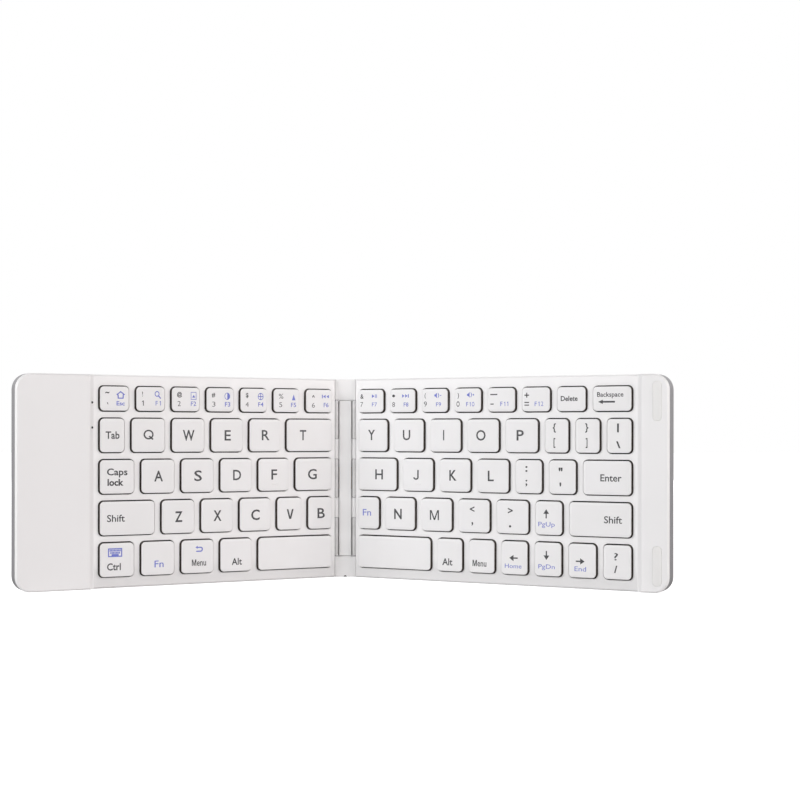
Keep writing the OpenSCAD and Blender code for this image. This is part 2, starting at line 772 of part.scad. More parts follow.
color("white") place_half(1) domes(1, 2);  // right_domes_3
color("white") place_half(1) domes(1, 3);  // right_domes_4
color("white") place_half(1) domes(1, 4);  // right_domes_5
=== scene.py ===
# Folding keyboard in two hinged halves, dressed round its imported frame.
# A half is shaped flat and in millimetres: x across, y from its front edge to its back edge,
# z out of the keys. on_half() stands such a shape up and folds it about its hinge pin.
import math

import bmesh
import bpy
from mathutils import Matrix, Vector


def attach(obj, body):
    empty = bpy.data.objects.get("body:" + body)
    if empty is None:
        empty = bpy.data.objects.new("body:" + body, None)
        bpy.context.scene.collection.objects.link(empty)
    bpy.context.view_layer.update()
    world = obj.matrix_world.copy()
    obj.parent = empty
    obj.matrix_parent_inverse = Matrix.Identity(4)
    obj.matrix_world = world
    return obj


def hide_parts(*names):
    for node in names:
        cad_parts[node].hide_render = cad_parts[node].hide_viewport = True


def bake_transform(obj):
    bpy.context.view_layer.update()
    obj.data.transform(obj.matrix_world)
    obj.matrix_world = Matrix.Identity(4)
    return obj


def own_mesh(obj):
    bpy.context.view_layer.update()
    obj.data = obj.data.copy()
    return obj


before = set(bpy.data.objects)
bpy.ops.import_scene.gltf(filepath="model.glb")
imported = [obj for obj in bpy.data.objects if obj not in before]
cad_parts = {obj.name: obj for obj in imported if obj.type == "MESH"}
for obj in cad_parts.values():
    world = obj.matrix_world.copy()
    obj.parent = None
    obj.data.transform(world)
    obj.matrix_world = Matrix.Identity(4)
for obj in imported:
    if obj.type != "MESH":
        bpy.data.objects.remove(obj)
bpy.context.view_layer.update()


# ---- Hinge spine and its end caps ----
# Narrow moulded bar between the halves, with a moulded cap plugged on at each end. Satin white ABS from a
# finely sparked mould, so it has a soft grain, and edges that the mould leaves slightly round.
MM = 0.001
CASE_DEPTH = 90.6
PIN_Z = 3.9
SHARP = math.radians(28)                        # edges that turn more than this are real ones
FLAT = math.radians(0.6)                        # faces that turn less than this are one face
WELD = 0.002                                    # points closer than this are one point
NEAR = 0.01                                     # places closer than this are the same place
WHITE = (0.80, 0.795, 0.795, 1)
PATCH_SPAN = (0.35, 0.65)                       # stretch of the noise that the colour patches use


def on_spine():
    """Where a shape drawn flat on the spine stands in the frame."""
    upright = Matrix.Rotation(math.radians(90), 4, "X")
    return Matrix.Scale(MM, 4) @ upright @ Matrix.Translation((0, 0, -PIN_Z))


def moulded_grain():
    """Shader group for a moulded or blasted surface: soft colour patches, and a grain in gloss and relief."""
    group = bpy.data.node_groups.new("moulded_grain", "ShaderNodeTree")
    face = group.interface
    for in_out, kind, names in (
        ("INPUT", "NodeSocketColor", ("Colour", "Patch Colour")),
        ("INPUT", "NodeSocketFloat", ("Patches per metre", "Grains per metre", "Gloss Low", "Gloss High")),
        ("OUTPUT", "NodeSocketColor", ("Colour",)),
        ("OUTPUT", "NodeSocketFloat", ("Roughness", "Height")),
    ):
        for name in names:
            face.new_socket(name, in_out=in_out, socket_type=kind)
    nodes, links = group.nodes, group.links
    given, made = nodes.new("NodeGroupInput"), nodes.new("NodeGroupOutput")
    place = nodes.new("ShaderNodeTexCoord")
    patches, grain = nodes.new("ShaderNodeTexNoise"), nodes.new("ShaderNodeTexNoise")
    patches.inputs["Detail"].default_value = 3
    grain.inputs["Detail"].default_value = 2
    for noise, scale in ((patches, "Patches per metre"), (grain, "Grains per metre")):
        links.new(place.outputs["Object"], noise.inputs["Vector"])
        links.new(given.outputs[scale], noise.inputs["Scale"])
    spread = nodes.new("ShaderNodeMapRange")
    spread.inputs["From Min"].default_value = PATCH_SPAN[0]
    spread.inputs["From Max"].default_value = PATCH_SPAN[1]
    links.new(patches.outputs["Fac"], spread.inputs["Value"])
    blend = nodes.new("ShaderNodeMix")
    blend.data_type = "RGBA"
    links.new(spread.outputs["Result"], blend.inputs["Factor"])
    links.new(given.outputs["Colour"], blend.inputs["A"])
    links.new(given.outputs["Patch Colour"], blend.inputs["B"])
    gloss = nodes.new("ShaderNodeMapRange")
    links.new(grain.outputs["Fac"], gloss.inputs["Value"])
    links.new(given.outputs["Gloss Low"], gloss.inputs["To Min"])
    links.new(given.outputs["Gloss High"], gloss.inputs["To Max"])
    links.new(blend.outputs["Result"], made.inputs["Colour"])
    links.new(gloss.outputs["Result"], made.inputs["Roughness"])
    links.new(grain.outputs["Fac"], made.inputs["Height"])
    return group


GRAIN = moulded_grain()


def surface(name, colour, patch_colour, patches=40, grains=4000, gloss=(0.4, 0.5), relief=0.1,
            depth=0.00002, **fixed):
    """Material with the grain group's colour, gloss and relief; fixed sets the shader's own sockets."""
    material = bpy.data.materials.new(name)
    material.use_nodes = True
    tree = material.node_tree
    shader = tree.nodes["Principled BSDF"]
    grain = tree.nodes.new("ShaderNodeGroup")
    grain.node_tree = GRAIN
    for socket, value in (
        ("Colour", colour),
        ("Patch Colour", patch_colour),
        ("Patches per metre", patches),
        ("Grains per metre", grains),
        ("Gloss Low", gloss[0]),
        ("Gloss High", gloss[1]),
    ):
        grain.inputs[socket].default_value = value
    bump = tree.nodes.new("ShaderNodeBump")
    bump.inputs["Strength"].default_value = relief
    bump.inputs["Distance"].default_value = depth
    tree.links.new(grain.outputs["Height"], bump.inputs["Height"])
    tree.links.new(bump.outputs["Normal"], shader.inputs["Normal"])
    tree.links.new(grain.outputs["Colour"], shader.inputs["Base Color"])
    tree.links.new(grain.outputs["Roughness"], shader.inputs["Roughness"])
    for socket, value in fixed.items():
        shader.inputs[socket.replace("_", " ")].default_value = value
    return material


def add_piece(bm, place, name, body, materials, slot, *stands_for):
    """Stands a flat shape in its place as a piece. It rides on a body if one is given, and may stand for CAD
    nodes."""
    bmesh.ops.transform(bm, matrix=place, verts=bm.verts)
    mesh = bpy.data.meshes.new(name)
    bm.to_mesh(mesh)
    bm.free()
    mesh.shade_smooth()
    mesh.set_sharp_from_angle(angle=SHARP)
    for material in materials:
        mesh.materials.append(material)
    piece = bpy.data.objects.new(name, mesh)
    bpy.context.scene.collection.objects.link(piece)
    if body:
        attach(piece, body)
    if stands_for:
        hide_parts(*stands_for)
    return piece


def even_normals(piece):
    """Keeps the large faces of a rounded solid flat in shading, so only its edges show the rounding."""
    even = piece.modifiers.new("even_normals", "WEIGHTED_NORMAL")
    even.weight = 100
    even.keep_sharp = True


def merged_copy(node, place):
    """The solid of a CAD node as a bmesh with its seams closed, back in the flat place it was drawn in."""
    bm = bmesh.new()
    bm.from_mesh(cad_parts[node].data)
    bmesh.ops.transform(bm, matrix=place.inverted(), verts=bm.verts)
    bmesh.ops.remove_doubles(bm, verts=bm.verts, dist=WELD)
    bmesh.ops.dissolve_limit(bm, angle_limit=FLAT, verts=bm.verts, edges=bm.edges)
    return bm


def rounded(bm, parts, radius, segments, affect="EDGES"):
    """Rounds the given edges, or the given corners of a flat shape, to a radius."""
    bmesh.ops.bevel(bm, geom=parts, offset=radius, offset_type="OFFSET", segments=segments, profile=0.5,
                    affect=affect, clamp_overlap=True, material=-1)


def soften(bm, radius, segments=2, where=lambda edge: True):
    """Rounds the outward edges of a solid that where() picks."""
    outward = [e for e in bm.edges if e.is_manifold and e.is_convex and e.calc_face_angle() > SHARP]
    rounded(bm, [e for e in outward if where(e)], radius, segments)


def lowest(part):
    """Height of the lowest corner of an edge or a face."""
    return min(v.co.z for v in part.verts)


def from_hole(part):
    """How far an edge or a face reaches from the middle of the hole in the front edge."""
    return max(v.co.xy.length for v in part.verts)


spine_white = surface("spine_white", (0.84, 0.835, 0.835, 1), WHITE, gloss=(0.34, 0.44), relief=0.15)
# Near-black painted shade for the inside of the small hole in the front end cap.
painted_hole_shade = surface("stop_hole_painted_shade", (0.03, 0.028, 0.028, 1), (0.05, 0.046, 0.045, 1), gloss=(0.6, 0.7))
SPINE_EDGE = 0.16
SEAM_EDGE = 0.34
SEAM_GAP = 0.2
END_CAP = 9.6
HOLE_R = 0.6                                    # reach of the small hole in the front end cap
HOLE_SPREAD = 1.5                               # how much wider it shows than it is in the CAD


def at_joint(edge):
    """Whether an edge of the spine lies where an end cap meets the bar."""
    return any(all(abs(v.co.y - y) < NEAR for v in edge.verts) for y in (END_CAP, CASE_DEPTH - END_CAP))


for node, name, gap in (
    ("hinge_spine", "spine_bar", 0),
    ("spine_end_cap_front", "spine_cap_front", -SEAM_GAP),
    ("spine_end_cap_back", "spine_cap_back", SEAM_GAP),
):
    block = merged_copy(node, on_spine())
    if gap:
        seam = {v for e in block.edges if at_joint(e) for v in e.verts}
        bmesh.ops.translate(block, vec=(0, gap, 0), verts=list(seam))
    else:
        soften(block, SEAM_EDGE, segments=1, where=lambda e: at_joint(e) and lowest(e) > PIN_Z)
    soften(block, SPINE_EDGE, where=lambda e: not at_joint(e) and from_hole(e) > HOLE_R)
    # The hole's walls take the painted shade.
    for face in block.faces:
        face.material_index = int(from_hole(face) < HOLE_R)
    hole = [v for v in block.verts if v.co.xy.length < HOLE_R]
    bmesh.ops.scale(block, vec=(HOLE_SPREAD, HOLE_SPREAD, 1), verts=hole)
    even_normals(add_piece(block, on_spine(), name, "spine", [spine_white, painted_hole_shade], "hinge_white", node))


# ---- Hinge pins and the flex ribbon ----
# Two ground steel pins run through the spine's lugs and the leaves' barrels. A printed polyimide ribbon
# passes between the halves through a slot in the spine. In the real keyboard it bends behind each pin as the
# halves fold; here each half's share is only cut across in narrow steps.
HALVES = ((-1, "left"), (1, "right"))
RIBBON_STEP = 0.4
pin_steel = surface("pin_steel", (0.52, 0.52, 0.53, 1), (0.46, 0.46, 0.47, 1), patches=300, grains=9000,
                    gloss=(0.18, 0.3), relief=0.05, Metallic=1.0)
polyimide = surface("polyimide", (0.55, 0.24, 0.04, 1), (0.62, 0.3, 0.06, 1), patches=500, grains=6000,
                    gloss=(0.25, 0.35), relief=0.05, Coat_Weight=0.3)


def refinish(material, *nodes):
    """Gives CAD nodes whose own shape is right the material of the real piece."""
    for node in nodes:
        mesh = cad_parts[node].data
        mesh.materials.clear()
        mesh.materials.append(material)


def cut_across(bm, x, facing=1, drop_outer=False):
    """Cuts a bmesh with a plane across x, and may drop what lies beyond it."""
    bmesh.ops.bisect_plane(bm, geom=bm.verts[:] + bm.edges[:] + bm.faces[:], plane_co=(x, 0, 0),
                           plane_no=(facing, 0, 0), clear_outer=drop_outer)


refinish(pin_steel, "left_hinge_pin", "right_hinge_pin")
for side, half in HALVES:
    ribbon = merged_copy("flex_ribbon", on_spine())
    cut_across(ribbon, 0, facing=-side, drop_outer=True)
    bmesh.ops.holes_fill(ribbon, edges=[e for e in ribbon.edges if e.is_boundary], sides=0)
    reach = max(abs(v.co.x) for v in ribbon.verts)
    for i in range(1, int(reach / RIBBON_STEP)):
        cut_across(ribbon, side * i * RIBBON_STEP)
    bmesh.ops.recalc_face_normals(ribbon, faces=ribbon.faces)
    film = add_piece(ribbon, on_spine(), half + "_ribbon", None, [polyimide], "ribbon_amber", "flex_ribbon")
    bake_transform(film)


# ---- Metal back covers ----
# A pressed aluminium tray closes each half from behind. It is blasted to a fine mid-grey grain, and the slope
# round its back edge is cut bright after blasting.
PIN_X = 4.15
FOLD = math.radians(27)
SLOPE_TOP = 0.5                                 # the bright slope lies below this height
SLOPE_TILT = (0.3, 0.95)                        # and the z of its faces' normals between these
COVER_EDGE = 0.12
blasted = surface("blasted_aluminium", (0.325, 0.32, 0.33, 1), (0.3, 0.295, 0.305, 1), patches=1400,
                  grains=5200, gloss=(0.38, 0.62), relief=0.55, depth=0.00004, Metallic=0.95)
bright_cut = surface("bright_cut_aluminium", (0.80, 0.80, 0.81, 1), (0.72, 0.72, 0.74, 1), patches=400,
                     grains=9000, gloss=(0.12, 0.22), relief=0.04, Metallic=1.0)


def on_half(side):
    """Where a shape drawn flat on a half stands in the frame; side is -1 for the left half and 1 for the
    right."""
    to_pin = Matrix.Translation((side * PIN_X * MM, 0, 0))
    return to_pin @ Matrix.Rotation(-side * FOLD, 4, "Z") @ to_pin.inverted() @ on_spine()


def middle_z(face):
    """Height of the middle of a face."""
    return face.calc_center_median().z


for side, half in HALVES:
    node = half + "_back_cover"
    tray = merged_copy(node, on_half(side))
    for face in tray.faces:
        sloping = SLOPE_TILT[0] < abs(face.normal.z) < SLOPE_TILT[1]
        face.material_index = int(sloping and middle_z(face) < SLOPE_TOP)
    soften(tray, COVER_EDGE, where=lambda e: lowest(e) > SLOPE_TOP)
    even_normals(add_piece(tray, on_half(side), half + "_back_tray", half + "_half", [blasted, bright_cut],
                           "back_aluminium", node))


# ---- Screws and feet on the back ----
# Four blackened screws hold each tray to the bosses of its top case. Beside every screw a moulded rubber foot
# with a rounded edge is glued into a pocket of the tray.
FOOT_EDGE = 0.22
screw_black = surface("blackened_screw", (0.09, 0.09, 0.092, 1), (0.13, 0.13, 0.13, 1), patches=900,
                      grains=9000, gloss=(0.3, 0.42), relief=0.1, Metallic=1.0)
foot_rubber = surface("foot_rubber", (0.045, 0.045, 0.047, 1), (0.06, 0.06, 0.062, 1), patches=200,
                      grains=3000, gloss=(0.62, 0.78), relief=0.4, depth=0.00003)
for side, half in HALVES:
    feet = merged_copy(half + "_feet", on_half(side))
    soften(feet, FOOT_EDGE, segments=3, where=lambda e: max(v.co.z for v in e.verts) < 0)
    add_piece(feet, on_half(side), half + "_rubber_feet", half + "_half", [foot_rubber], "foot_grey",
              half + "_feet")
    refinish(screw_black, half + "_screws")


# ---- Battery, circuit board, socket, lights and magnets ----
# The left half holds a foil-wrapped pouch cell and a green circuit board, with a pressed steel charging
# socket and two smoked light pipes. Nickel-plated magnets under both strips hold the halves shut.
cell_foil = surface("cell_foil", (0.55, 0.55, 0.57, 1), (0.44, 0.44, 0.46, 1), patches=120, grains=900,
                    gloss=(0.22, 0.4), relief=0.35, depth=0.00008, Metallic=0.9)
board_green = surface("board_green", (0.015, 0.12, 0.045, 1), (0.02, 0.17, 0.06, 1), patches=700, grains=2500,
                      gloss=(0.25, 0.4), relief=0.2, Coat_Weight=0.4)
socket_steel = surface("socket_steel", (0.6, 0.6, 0.61, 1), (0.5, 0.5, 0.51, 1), patches=500, grains=7000,
                       gloss=(0.16, 0.3), relief=0.1, Metallic=1.0)
smoked = surface("smoked_light", (0.012, 0.012, 0.014, 1), (0.02, 0.02, 0.022, 1), patches=500, grains=5000,
                 gloss=(0.08, 0.14), relief=0.03)
nickel = surface("magnet_nickel", (0.62, 0.6, 0.57, 1), (0.52, 0.5, 0.47, 1), patches=300, grains=6000,
                 gloss=(0.1, 0.2), relief=0.06, Metallic=1.0)
refinish(cell_foil, "battery")
refinish(board_green, "main_board")
refinish(socket_steel, "charging_socket")
refinish(smoked, "light_pipes")
refinish(nickel, "left_magnets", "right_magnets")


# ---- Hinge leaves ----
# A die-cast zinc rail is clamped between tray and top case along each half's inner edge, and its three
# barrels turn on the hinge pin. It is tumbled to a satin metal and left bare.
LEAF_EDGE = 0.12
cast_zinc = surface("cast_zinc", (0.52, 0.515, 0.515, 1), (0.46, 0.455, 0.455, 1), patches=250, grains=3500,
                    gloss=(0.5, 0.62), relief=0.3, depth=0.00003, Metallic=1.0)
for side, half in HALVES:
    node = half + "_hinge_leaf"
    leaf = merged_copy(node, on_half(side))
    soften(leaf, LEAF_EDGE)
    even_normals(add_piece(leaf, on_half(side), half + "_leaf_casting", half + "_half", [cast_zinc],
                           "leaf_metal", node))


# ---- Key plates and contact sheets ----
# A rolled steel plate stiffens each half, and the printed contact sheet of dark film lies on it. The shape of
# both is right in the CAD, so they only get their materials.
rolled_steel = surface("rolled_steel", (0.34, 0.34, 0.35, 1), (0.28, 0.28, 0.29, 1), patches=80, grains=2500,
                       gloss=(0.3, 0.45), relief=0.2, Metallic=1.0)
contact_film = surface("contact_film", (0.022, 0.020, 0.018, 1), (0.035, 0.030, 0.026, 1), patches=180,
                       gloss=(0.35, 0.5), relief=0.1)
for side, half in HALVES:
    refinish(rolled_steel, half + "_key_plate")
    refinish(contact_film, half + "_contact_sheet")


# ---- Rubber domes and scissor levers ----
# Under every key stands a moulded silicone dome between two crossed lever frames of grey acetal. In the real
# keyboard both give way as the key goes down and flatten towards the contact sheet; here each row's piece
# only gets a mesh of its own.
KEY_ROWS = 5
DOME_H = 3.5
LEVERS_H = 3.65
dome_silicone = surface("dome_silicone", (0.62, 0.62, 0.63, 1), (0.55, 0.55, 0.56, 1), patches=400,
                        grains=3000, gloss=(0.35, 0.5), relief=0.1)
lever_acetal = surface("lever_acetal", (0.30, 0.30, 0.30, 1), (0.25, 0.25, 0.25, 1), patches=300,
                       gloss=(0.38, 0.52), relief=0.15)
for side, half in HALVES:
    facing = on_half(side)
    for row in range(1, KEY_ROWS + 1):
        for kind, name, material, slot, height in (
            ("domes", "dome_row", dome_silicone, "dome_silicone", DOME_H),
            ("levers", "lever_row", lever_acetal, "lever_grey", LEVERS_H),
        ):
            node = f"{half}_{kind}_{row}"
            soft = merged_copy(node, facing)
            piece = add_piece(soft, facing, f"{half}_{name}_{row}", half + "_half", [material], slot, node)
            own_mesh(piece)


# ---- Key caps ----
# Low hollow caps: a skirt with the dome's stem and the levers' ribs, and over it a white top that is slightly
# crowned, with its edge rounded over. F and J have a small bar to find them by. The skirt and the inside are
# painted dark, as painted shade for the shadowed gap round each cap.
HINGE_X = 5.55
KEY_PITCH = 18.0
ROW_PITCH = 17.6
NUMBER_ROW = 13.6
EDGE_MARGIN = 3.3
HINGE_MARGIN = 0.6
KEY_GAP = 3.35
# Widths are in key pitches, from the outer edge of a half to the hinge, and the last key takes what is left.
FIELD = {-1: 6.206, 1: 7.296}
ROWS = {
    -1: (
        (0.883,) * 6,
        (0.772, 1, 1, 1, 1),
        (1.011, 1, 1, 1, 1),
        (1.517, 1, 1, 1, 0.845),
        (1.011, 1, 1, 1),
    ),
    1: (
        (1.106,) + (0.883,) * 6,
        (0.764, 0.764, 0.764, 1, 1, 1, 1),
        (1.344, 0.845, 0.845, 1, 1, 1),
        (1.683, 0.845, 1, 1, 1, 1),
        (0.85,) * 6,
    ),
}
CAP_TOP_Z = 7.3
CAP_H = 2.9
CAP_R = 1.7
CAP_WALL = 0.9
CAP_ROOF = 1.1
CAP_EDGE = 0.23
CROWN_W = 0.95
CROWN_H = 0.1
CROWN_FLAT = 0.2
SKIRT_H = 2.55
STEM_R = 1.1
STEM_H = 1.2
STEM_SIDES = 16
RIB = (0.8, 5.4, 0.9)
RIB_AIR = 0.4
ROOT = 0.1                                      # how far a stem or a rib reaches into the roof
LEVER_RUN = 7.2
WIDE_CAP = 3 * LEVER_RUN                        # wider caps than this stand on two sets of levers
HOMING = {(-1, 2): (4, 0.6, -4.15), (1, 2): (1, -0.1, -4.25)}    # key, and the bar's middle on it
HOMING_BAR = (3.0, 0.42, 0.5)
HOMING_EDGE = 0.15
HOMING_SINK = 0.07
CORNER_STEPS = 6
EDGE_STEPS = 3
TOUCH = 0.001                                   # faces this close to a height lie at it
cap_white = surface("cap_white", (0.80, 0.795, 0.80, 1), (0.785, 0.78, 0.78, 1), patches=60, grains=5200,
                    gloss=(0.4, 0.5), relief=0.14)
# The skirt colour is painted shade: it stands for the shadowed gap round each cap.
skirt_painted_shade = surface("skirt_painted_shade", (0.085, 0.067, 0.057, 1), (0.105, 0.085, 0.074, 1), patches=200, grains=4500,
                    gloss=(0.45, 0.6), relief=0.1)


def key_cells(side, row):
    """Middle, width and depth of each cap of a row, from left to right as one types."""
    field = FIELD[side] * KEY_PITCH
    depth = ROW_PITCH if row else NUMBER_ROW
    y = CASE_DEPTH - EDGE_MARGIN - (NUMBER_ROW + (row - 0.5) * ROW_PITCH if row else NUMBER_ROW / 2)
    widths = [share * KEY_PITCH for share in ROWS[side][row]]
    widths.append(field - sum(widths))
    edge = HINGE_X + HINGE_MARGIN + field
    cells = []
    for width in widths:
        cells.append((side * (edge - width / 2), y, width - KEY_GAP, depth - KEY_GAP))
        edge -= width
    return cells if side < 0 else cells[::-1]


def drawn_out(bm, faces, height, on_solid=False):
    """Extrudes faces along z and gives back the faces at the new end. On a solid the old faces go."""
    made = bmesh.ops.extrude_face_region(bm, geom=faces)["geom"]
    if on_solid:
        bmesh.ops.delete(bm, geom=faces, context="FACES_ONLY")
    bmesh.ops.translate(bm, vec=(0, 0, height), verts=[v for v in made if isinstance(v, bmesh.types.BMVert)])
    return [face for face in made if isinstance(face, bmesh.types.BMFace)]


def cap_shell(width, depth):
    """Hollow cap with a slightly crowned top, about its own middle and with its foot at z 0."""
    cap = bmesh.new()
    bmesh.ops.create_grid(cap, x_segments=1, y_segments=1, size=0.5)
    bmesh.ops.scale(cap, vec=(width, depth, 1), verts=cap.verts)
    rounded(cap, cap.verts[:], CAP_R, CORNER_STEPS, affect="VERTICES")
    skirt_top = drawn_out(cap, cap.faces[:], SKIRT_H)
    roof = drawn_out(cap, skirt_top, CAP_H - CROWN_H - SKIRT_H, on_solid=True)
    bmesh.ops.recalc_face_normals(cap, faces=cap.faces)
    rounded(cap, roof[0].edges[:], CAP_EDGE, EDGE_STEPS)
    roof = [face for face in cap.faces if middle_z(face) > CAP_H - CROWN_H - TOUCH]
    bmesh.ops.inset_region(cap, faces=roof, thickness=CROWN_W, depth=CROWN_H, use_even_offset=True)
    bmesh.ops.inset_region(cap, faces=roof, thickness=CROWN_FLAT, use_even_offset=True)
    foot = [face for face in cap.faces if middle_z(face) < TOUCH]
    bmesh.ops.inset_region(cap, faces=foot, thickness=CAP_WALL, use_even_offset=True)
    drawn_out(cap, foot, CAP_H - CAP_ROOF, on_solid=True)
    bmesh.ops.recalc_face_normals(cap, faces=cap.faces)
    return cap


def add_stem_and_ribs(cap, width):
    """Stem for the dome, and a rib for each end of the levers. The widest caps have two sets of levers."""
    under = CAP_H - CAP_ROOF
    place = Matrix.Translation((0, 0, under + (ROOT - STEM_H) / 2))
    bmesh.ops.create_cone(cap, cap_ends=True, segments=STEM_SIDES, radius1=STEM_R, radius2=STEM_R,
                          depth=STEM_H + ROOT, matrix=place)
    middles = (-width / 4, width / 4) if width > WIDE_CAP else (0,)
    run = min(LEVER_RUN, width - 2 * CAP_WALL - RIB_AIR)
    size = Matrix.Diagonal((RIB[0], RIB[1], RIB[2] + ROOT, 1))
    for x in middles:
        for end in (-1, 1):
            place = Matrix.Translation((x + end * (run - RIB[0]) / 2, 0, under + (ROOT - RIB[2]) / 2))
            bmesh.ops.create_cube(cap, size=1, matrix=place @ size)


def add_homing_bar(cap, x, y):
    """Small rounded bar on the top of a cap."""
    place = Matrix.Translation((x, y, CAP_H - HOMING_SINK))
    made = bmesh.ops.create_cube(cap, size=1, matrix=place @ Matrix.Diagonal((*HOMING_BAR, 1)))
    rounded(cap, list({e for v in made["verts"] for e in v.link_edges}), HOMING_EDGE, EDGE_STEPS)


def key_cap(width, depth, homing=None):
    """One whole cap. Its skirt and its inside take the second material, dark as painted shade."""
    cap = cap_shell(width, depth)
    add_stem_and_ribs(cap, width)
    for face in cap.faces:
        face.material_index = int(middle_z(face) < SKIRT_H - TOUCH)
    if homing:
        add_homing_bar(cap, *homing)
    return cap


def add_shape(target, shape, place):
    """Puts one finished shape into a larger bmesh."""
    bmesh.ops.transform(shape, matrix=place, verts=shape.verts)
    lump = bpy.data.meshes.new("lump")
    shape.to_mesh(lump)
    shape.free()
    target.from_mesh(lump)
    bpy.data.meshes.remove(lump)


for side, half in HALVES:
    for row in range(KEY_ROWS):
        caps = bmesh.new()
        homing_key, *homing_place = HOMING.get((side, row), (None,))
        for key, (x, y, width, depth) in enumerate(key_cells(side, row)):
            cap = key_cap(width, depth, homing_place if key == homing_key else None)
            add_shape(caps, cap, Matrix.Translation((x, y, CAP_TOP_Z - CAP_H)))
        add_piece(caps, on_half(side), f"{half}_key_caps_{row + 1}", f"{half}_keys_{row + 1}",
                  [cap_white, skirt_painted_shade], "cap_white", f"{half}_caps_{row + 1}")


# ---- Printed key legends ----
# Pad-printed characters lie on the caps in a thin film of ink: dark grey for what a key types, blue-violet
# for what it does together with Fn. Words are set in the built-in type, and the rest is drawn as marks.
INK_SPREAD = 0.08
BLUE_SPREAD = 0.03
INK_TOP = 0.012
INK_FOOT = 0.03
THIN_INK = 2.6                                  # below this height the spread shrinks with the type
TYPE_WELD = 0.0005
# Ink spreads a little past the outlines of a word. These words have more or less of it than their colour has.
SPREADS = {
    word: spread
    for spread, words in (
        (-0.02, "2345678"),
        (0.0, ("9", "%", "(", "!", "F7", "F9", "PgUp", "PgDn", "Home", "End")),
        (0.03, "?"),
        (0.05, ("Shift", "enu", "F3")),
        (0.06, ("Backspace", "Enter")),
        (0.08, ("Esc",)),
        (0.1, ("Delete",)),
        (0.11, "@^AC"),
        (0.12, "`\"[]"),
        (0.13, ("K", "Z", "Y", "lock")),
        (0.14, "{}\\"),
        (0.145, "WN"),
        (0.16, "~X"),
        (0.2, "/"),
    )
    for word in words
}
CAPITAL = 0.682                                 # height of a capital in the built-in type
BLUE = 1
ink_grey = surface("ink_grey", (0.035, 0.035, 0.038, 1), (0.05, 0.05, 0.054, 1), patches=900, grains=9000,
                   gloss=(0.4, 0.55), relief=0.05)
ink_blue = surface("ink_blue", (0.12, 0.15, 0.52, 1), (0.15, 0.185, 0.58, 1), patches=900, grains=9000,
                   gloss=(0.4, 0.55), relief=0.05)


def arc(x, y, across, along, start, end, steps):
    """Points of a stretch of an ellipse about x, y, from one angle to another in degrees."""
    angles = [math.radians(start + (end - start) * i / steps) for i in range(steps + 1)]
    return [(x + across * math.cos(angle), y + along * math.sin(angle)) for angle in angles]


def ring(x, y, r, corners=20):
    """Points of a whole circle."""
    return arc(x, y, r, r, 0, 360, corners)[:-1]


def bar(x, y, width, height):
    """Corners of an upright rectangle about x, y."""
    return [(x - width / 2, y - height / 2), (x + width / 2, y - height / 2),
            (x + width / 2, y + height / 2), (x - width / 2, y + height / 2)]


def moved(points, x):
    """Points moved sideways."""
    return [(px + x, py) for px, py in points]


def turned(points, quarter_turns):
    """Points turned about the origin by so many right angles."""
    return [tuple(Matrix.Rotation(math.radians(90) * quarter_turns, 2) @ Vector(p)) for p in points]


def letter_m(shoulder, valley, leg, notch, foot):
    """Outline of a capital M, 1 wide and 2 high, from half widths and the heights of its notches."""
    return ((-0.5, -1), (-0.5, 1), (-shoulder, 1), (0, valley), (shoulder, 1), (0.5, 1), (0.5, -1), (leg, -1),
            (leg, notch), (foot, -1), (-foot, -1), (-leg, notch), (-leg, -1))


ARROW = ((-0.5, 0), (0, 0.5), (0, 0.11), (0.5, 0.11), (0.5, -0.11), (0, -0.11), (0, -0.5))
LONG_ARROW = (
    (-0.5, 0), (-0.22, 0.17), (-0.22, 0.07), (0.5, 0.07), (0.5, -0.07), (-0.22, -0.07), (-0.22, -0.17),
)
LEFT_TIP = ((-0.5, 0), (0, 0.5), (0, -0.5))
RIGHT_TIP = ((0, 0.5), (0.5, 0), (0, -0.5))
PLAY_TIP = ((-0.5, 0.5), (0.3, 0), (-0.5, -0.5))
HOOK = ((0.23, 1), (0.5, 1), *arc(0, -0.5, 0.5, 0.5, 0, -180, 10), *arc(0, -0.5, 0.23, 0.2, -180, 0, 10))
STAR = [(r * math.cos(math.pi * i / 6), r * math.sin(math.pi * i / 6)) for i, r in enumerate((0.4, 0.5) * 6)]
LETTER_V = ((-0.5, 1), (-0.26, 1), (0, -0.5), (0.26, 1), (0.5, 1), (0.14, -1), (-0.14, -1))
Q_TAIL = ((0.0, -0.2), (0.12, -0.1), (0.5, -0.45), (0.4, -0.56))
ONE_FLAG = ((-0.4, 0.38), (-0.4, 0.66), (0.03, 1), (0.03, 0.66))
GLASS_HANDLE = ((0.07, -0.19), (0.18, -0.08), (0.5, -0.39), (0.39, -0.5))
HILL = ((-0.22, -0.22), (0.02, 0.14), (0.24, -0.22))
PEAK = ((-0.5, -0.5), (0, 0.7), (0.5, -0.5))
HOUSE = ((-0.5, 0.04), (-0.36, -0.04), (-0.33, -0.45), (0.33, -0.45), (0.36, -0.04), (0.5, 0.04), (0, 0.45))
SPEAKER = ((-0.5, 0.12), (-0.36, 0.12), (-0.12, 0.34), (-0.12, -0.34), (-0.36, -0.12), (-0.5, -0.12))
SOUND = (
    (0.0, 0.26), (0.07, 0.3), (0.2, 0.1), (0.2, -0.1), (0.07, -0.3), (0.0, -0.26), (0.1, -0.08), (0.1, 0.08),
)
BACK_TURN = (
    (-0.5, 0.28), (-0.22, 0.46), (-0.22, 0.33), (0.2, 0.33), (0.36, 0.26), (0.44, 0.12), (0.44, -0.14),
    (0.36, -0.3), (0.2, -0.37), (-0.4, -0.37), (-0.4, -0.21), (0.16, -0.21), (0.25, -0.17), (0.29, -0.1),
    (0.29, 0.08), (0.25, 0.14), (0.16, 0.17), (-0.22, 0.17), (-0.22, 0.04),
)
